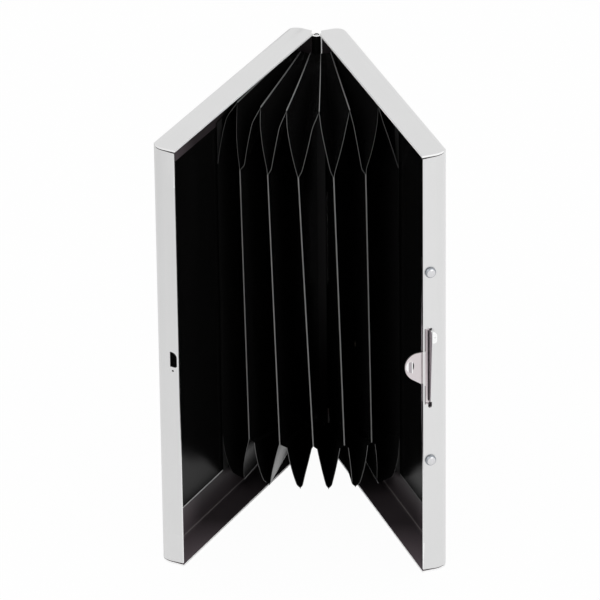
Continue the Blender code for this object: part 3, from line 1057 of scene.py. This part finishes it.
def leg_offset(rise, shape, foot_at, shoulder_at):
    """How far a leg has come from its divider towards the tip, at a rise from 0 to 1."""
    foot, shoulder = shape
    knots = ((0, 0), (foot_at, foot), (shoulder_at, shoulder), (1, 1))
    total = 0
    half_window = leg_rounding * min(1, foot_fade * rise, tip_fade * (1 - rise))
    window = [rise + half_window * part for part in (-1, -0.5, 0, 0.5, 1)]
    for at in window:
        for (low, start), (high, stop) in zip(knots, knots[1:]):
            if at <= high or high == 1:
                total += start + (stop - start) * (at - low) / (high - low)
                break
    return total / len(window)


def side_point(number, end, reach, position):
    """A point of a fold: reach from rear to mouth, position from divider to divider."""
    near = number - 1 if position <= 0 else number
    rise = 1 - abs(position)
    tip = pocket_length / 2 - film_gap * (1 - reach)
    start = pocket_length / 2 - mouth_dip
    mouth = pocket_front - tip_setback * rise ** 2
    forward = pocket_rear + (mouth - pocket_rear) * reach
    height = middle_height + end * (tip + (start + (tip - start) * rise - tip) * reach)
    base = leaf_share(near, forward, height)
    if 0 < near < len(shares) - 1:
        side = 1 if position <= 0 else -1
        base += side * (skin + bond_gap) / 2 / spacing(1, forward)
    middle = (shares[number - 1] + shares[number]) / 2
    ridge = middle + (tip_shares[end][number - 1] - middle) * reach
    shape = leg_shapes[end][number - 1][0 if position <= 0 else 1]
    offset = rise + (leg_offset(rise, shape, foot_rise[end], shoulder_rise[end]) - rise) * reach
    return fan_point(base + (ridge - base) * offset, forward, height)


def ridge_fin(number, end):
    """The welded seam that stands along a fold's ridge."""
    body = bmesh.new()
    rings = []
    for row in range(side_rows + 1):
        ridge = side_point(number, end, row / side_rows, 0)
        aside = fan_turn(shares[number]) @ place(fin_width / 2, 0, 0)
        low, high = Vector((0, 0, -end * skin / 2)), Vector((0, 0, end * fin_height))
        corners = (ridge - aside + low, ridge + aside + low, ridge + aside + high, ridge - aside + high)
        rings.append([body.verts.new(corner) for corner in corners])
    for lower, upper in zip(rings, rings[1:]):
        for corner in range(4):
            after = (corner + 1) % 4
            body.faces.new((lower[corner], lower[after], upper[after], upper[corner]))
    body.faces.new(rings[0])
    body.faces.new(rings[-1])
    return loose("fin", body_mesh("fin", body), cut_film_highlight)


def pouch_side(number, end, label):
    """The pointed fold of film above or below a pouch, with its welded seam."""
    share, next_share = shares[number - 1], shares[number]
    columns = [column / side_columns for column in range(-side_columns, side_columns + 1)]
    rows = []
    for row in range(side_rows + 1):
        points = []
        for column in columns:
            point = side_point(number, end, row / side_rows, column)
            wave = noise.noise_vector(point / ripple_size + Vector((number, end, 0))) * ripple
            points.append(point + wave * math.sin(math.pi * abs(column)))
        rows.append(points)
    film_side = sheet_grid("side", rows, black_film, fold_rim_highlight)
    fin = ridge_fin(number, end)
    # The welded seam takes the painted highlight.
    for polygon in fin.data.polygons:
        polygon.material_index = 2
    surface = rubbed_film if end < 0 and number > len(shares) // 2 else black_film
    # Painted highlight on the folds' rims at the mouth, lighter below than above.
    mouth_rim_paint = fold_rim_highlight if end > 0 else lower_rim_highlight
    piece = joined(f"film_side_{number}_{label}", [film_side, fin], surface, mouth_rim_paint, cut_film_highlight)
    mouth_line = [side_point(number, end, 1, column) for column in columns]
    fin_faces = 4 * side_rows + 2
    for polygon in piece.data.polygons[:-fin_faces]:
        near = min((polygon.center - point).length for point in mouth_line)
        polygon.material_index = 1 if polygon.material_index and near < 2 * film else 0
    smooth(piece, degrees=45)
    settle(piece)
    across = fan_turn((share + next_share) / 2) @ place(1, 0, 0)
    half = spacing(next_share - share, pocket_front) / 2
    middle = fan_point((share + next_share) / 2, pocket_front, middle_height)
    if number < len(shares) - 1:
        middle - across * half
        middle + across * half
        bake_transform(piece)
    else:
        across = fan_turn(share) @ place(1, 0, 0)
        line = fan_point(share, pocket_front, middle_height)
        length = 2 * half / (1 - last_start)
        line - across * length * last_start
        line + across * length * (1 - last_start)
        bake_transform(piece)
    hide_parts(f"pouch_{number}_{label}")


def blend_start(weight):
    """Where the smooth step between two bodies reaches a weight."""
    low, high = 0.0, 1.0
    for _ in range(40):
        middle = (low + high) / 2
        if middle * middle * (3 - 2 * middle) < weight:
            low = middle
        else:
            high = middle
    return low


last_start = blend_start(shares[-2])


# ---- staging

floor_reach = 4000 * MM
floor_drop = 0.02 * MM
floor_white = 0.97
mirrored_white = 0.75
# Painted reflection: seen in reflections, the floor glows brighter towards the right.
painted_reflection_slope = 2.8
surround_light = 0.94
lamp_size = 0.8


def stage():
    """A white floor that keeps a faint shadow, and white surroundings."""
    body = bmesh.new()
    bmesh.ops.create_grid(body, x_segments=1, y_segments=1, size=floor_reach)
    floor = loose("studio_floor", body_mesh("studio_floor", body))
    floor.location = (0, 0, -floor_drop)
    finish = Finish("pale_floor", Base_Color=grey(0.72), Roughness=0.9, Specular_IOR_Level=0.1)
    rays = finish.tree.nodes.new("ShaderNodeLightPath")
    seen = Term(finish.tree, rays.outputs["Is Camera Ray"])
    seen = seen + Term(finish.tree, rays.outputs["Is Transmission Ray"])
    mirrored = Term(finish.tree, rays.outputs["Is Glossy Ray"])
    glow = finish.node("Emission", Color=grey(1.0), Strength=1.0)
    # Painted reflection: in glossy rays the floor glows brighter towards the right, so the left tray's
    # outside mirrors it darker than the right tray's.
    factor = seen * floor_white + mirrored * (finish.along(0) * painted_reflection_slope + mirrored_white)
    mixed = finish.node("MixShader")
    mix = mixed.socket.node
    connect(finish.tree, factor, mix.inputs[0])
    finish.tree.links.new(finish.shader.outputs[0], mix.inputs[1])
    finish.tree.links.new(glow.socket, mix.inputs[2])
    finish.tree.links.new(mix.outputs[0], finish.tree.nodes["Material Output"].inputs[0])
    floor.data.materials.append(finish.material)

    world = bpy.data.worlds.new("studio")
    bpy.context.scene.world = world
    world.use_nodes = True
    tree = world.node_tree
    plain = tree.nodes["Background"]
    plain.inputs["Color"].default_value = grey(1.0)
    plain.inputs["Strength"].default_value = surround_light
    white = tree.nodes.new("ShaderNodeBackground")
    white.inputs["Color"].default_value = grey(1.0)
    white.inputs["Strength"].default_value = 1.0
    rays = tree.nodes.new("ShaderNodeLightPath")
    mix = tree.nodes.new("ShaderNodeMixShader")
    tree.links.new(rays.outputs["Is Camera Ray"], mix.inputs[0])
    tree.links.new(plain.outputs[0], mix.inputs[1])
    tree.links.new(white.outputs[0], mix.inputs[2])
    tree.links.new(mix.outputs[0], tree.nodes["World Output"].inputs[0])


def lamp(name, position, power):
    """A square soft box that looks at the holder."""
    light = bpy.data.lights.new(name, "AREA")
    light.size = lamp_size
    light.energy = power
    made = bpy.data.objects.new(name, light)
    made.location = position
    aim = Vector((0, 0, middle_height)) - made.location
    made.rotation_euler = aim.to_track_quat("-Z", "Y").to_euler()
    bpy.context.scene.collection.objects.link(made)


def camera():
    """The photograph's view, fitted to the case's edges: a long lens above and a little to the right."""
    yaw, pitch, roll = math.radians(-4.242), math.radians(28.659), math.radians(-0.677)
    ahead = Vector((math.sin(yaw) * math.cos(pitch), math.cos(yaw) * math.cos(pitch), -math.sin(pitch)))
    right = ahead.cross(Vector((0, 0, 1))).normalized()
    up = right.cross(ahead)
    level = math.cos(roll) * right + math.sin(roll) * up
    upright = math.cos(roll) * up - math.sin(roll) * right
    data = bpy.data.cameras.new("photograph")
    data.sensor_width = 36
    data.lens = 391.24
    data.clip_start = 0.01
    data.clip_end = 20
    made = bpy.data.objects.new("photograph", data)
    turn = Matrix((level, upright, -ahead)).transposed().to_4x4()
    place_mm = (83.914, -1184.937, 682.239)
    made.matrix_world = Matrix.Translation(Vector(place_mm) * MM + hinge_place) @ turn
    bpy.context.scene.collection.objects.link(made)
    bpy.context.scene.camera = made


def build():
    """Every piece of the holder."""
    left_spans, right_spans = knuckle_spans()
    wall = (wall_inside - overrun, front + overrun)
    left = tray("left_tray", left_spans, [catch_hole(), pilot_hole()])
    finish_tray(left, -1, rim_reflection_paint, LEFT, "left_half", "left_shell")
    right = tray("right_tray", right_spans, [lip_slot(), *rivet_holes(*wall)])
    finish_tray(right, 1, faint_rim_reflection_paint, RIGHT, "right_half", "right_shell")
    hinge_pin()
    latch_spring()
    latch_hook()
    for name, height in zip(("rivet_lower", "rivet_upper"), rivet_heights()):
        rivet(name + "_dome", height, name)
    divider("film_panel_left", 0, 1, "left_half", "film_left")
    divider("film_panel_right", len(shares) - 1, 1, "right_half", "film_right")
    for number in range(1, len(shares) - 1):
        divider(f"film_divider_{number}", number, 2, f"leaf_{number}", f"divider_{number}")
    noise.seed_set(ripple_seed)
    for number in range(1, len(shares)):
        pouch_side(number, 1, "top")
        pouch_side(number, -1, "bottom")


build()
stage()
lamp("key", (-0.5, -0.9, 0.9), power=3)
lamp("fill", (0.8, -0.6, 0.6), power=2)
camera()
bpy.context.scene.view_settings.view_transform = "Standard"
